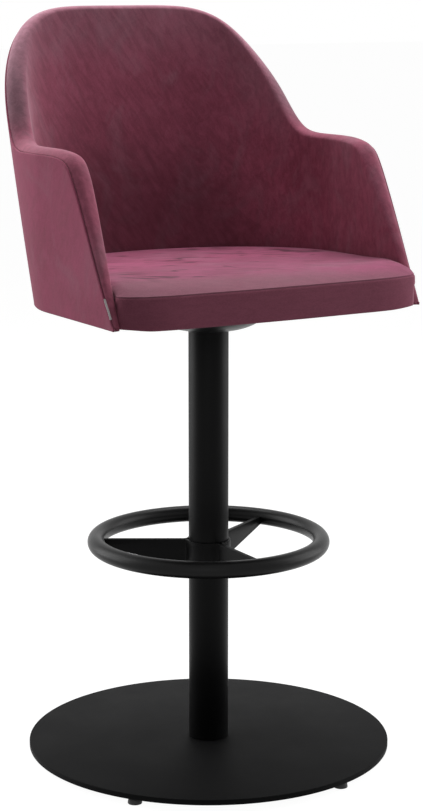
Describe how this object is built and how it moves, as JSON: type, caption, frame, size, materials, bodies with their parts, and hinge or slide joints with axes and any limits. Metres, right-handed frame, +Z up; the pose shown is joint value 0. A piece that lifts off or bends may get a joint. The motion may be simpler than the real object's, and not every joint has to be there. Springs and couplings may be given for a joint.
{
  "type": "bar stool",
  "caption": "Swivel bar stool with an upholstered tub seat on a tubular column, a ring footrest and a round levelled base plate.",
  "frame": {"origin": "on the floor, under the middle of the whole stool's bounding box; the column's axis stands 11.3 mm in front of it", "axes": "+Z up the column, -Y towards the front of the seat, +X towards the sitter's left arm"},
  "size_m": [0.55, 0.5726, 1.12],
  "materials": {
    "black_coat": "matt black powder coat with a fine orange peel",
    "black_satin": "satin black paint on pressed sheet",
    "zinc": "zinc plated",
    "steel": "turned and oiled",
    "foot_plastic": "black moulded nylon",
    "bush_plastic": "natural acetal",
    "shell_plastic": "moulded shell, fully covered",
    "plywood": "raw birch plywood",
    "black_cloth": "black spunbonded dust cover",
    "grey_cloth": "plain grey folded tape",
    "outer_velvet": "plum velvet with a mottled nap",
    "inner_velvet": "plum velvet with a mottled nap",
    "seat_velvet": "plum velvet with a crushed, lighter nap"
  },
  "bodies": {
    "base": {"base_plate": "black_coat", "base_screw_1": "zinc", "base_screw_2": "zinc", "base_screw_3": "zinc", "base_screw_4": "zinc", "column_foot_plug": "steel", "column_tube": "black_coat", "footrest_ring": "black_coat", "footrest_web_1": "black_coat", "footrest_web_2": "black_coat", "footrest_web_3": "black_coat", "swivel_housing": "steel", "swivel_bush_upper": "bush_plastic", "swivel_bush_lower": "bush_plastic", "thrust_race_lower": "steel"},
    "seat": {"thrust_race_upper": "steel", "swivel_spindle": "steel", "spindle_washer": "zinc", "spindle_nut": "zinc", "seat_plate": "black_coat", "seat_bolt_1": "zinc", "seat_bolt_2": "zinc", "seat_bolt_3": "zinc", "seat_bolt_4": "zinc", "seat_tee_nut_1": "zinc", "seat_tee_nut_2": "zinc", "seat_tee_nut_3": "zinc", "seat_tee_nut_4": "zinc", "swivel_cover": "black_satin", "cover_screw_1": "zinc", "cover_screw_2": "zinc", "cover_screw_3": "zinc", "dust_cover": "black_cloth", "seat_board": "plywood", "tub_shell": "shell_plastic", "tub_screw_1": "zinc", "tub_screw_2": "zinc", "tub_screw_3": "zinc", "tub_screw_4": "zinc", "tub_screw_5": "zinc", "tub_screw_6": "zinc", "outer_panel": "outer_velvet", "inner_upholstery": "inner_velvet", "seat_cushion": "seat_velvet", "seam_tab": "grey_cloth"},
    "ball_cage": {"thrust_ball_cage": "steel"},
    "foot_1": {"foot_pad_1": "foot_plastic", "foot_stud_1": "zinc"},
    "foot_2": {"foot_pad_2": "foot_plastic", "foot_stud_2": "zinc"},
    "foot_3": {"foot_pad_3": "foot_plastic", "foot_stud_3": "zinc"},
    "foot_4": {"foot_pad_4": "foot_plastic", "foot_stud_4": "zinc"},
    "foot_5": {"foot_pad_5": "foot_plastic", "foot_stud_5": "zinc"}
  },
  "joints": [
    {"name": "seat_swivel", "type": "hinge", "parent": "base", "child": "seat", "pos_m": [0, -0.01133, 0.68], "axis": [0, 0, 1], "continuous": true},
    {"name": "ball_cage_turn", "type": "hinge", "parent": "base", "child": "ball_cage", "pos_m": [0, -0.01133, 0.68], "axis": [0, 0, 1], "continuous": true},
    {"name": "foot_screw_1", "type": "slide", "parent": "base", "child": "foot_1", "axis": [0, 0, -1], "range_m": [-0.002, 0.0025]},
    {"name": "foot_screw_2", "type": "slide", "parent": "base", "child": "foot_2", "axis": [0, 0, -1], "range_m": [-0.002, 0.0025]},
    {"name": "foot_screw_3", "type": "slide", "parent": "base", "child": "foot_3", "axis": [0, 0, -1], "range_m": [-0.002, 0.0025]},
    {"name": "foot_screw_4", "type": "slide", "parent": "base", "child": "foot_4", "axis": [0, 0, -1], "range_m": [-0.002, 0.0025]},
    {"name": "foot_screw_5", "type": "slide", "parent": "base", "child": "foot_5", "axis": [0, 0, -1], "range_m": [-0.002, 0.0025]}
  ],
  "couplings": [
    {"joint": "ball_cage_turn", "follows": "seat_swivel", "ratio": 0.5}
  ]
}
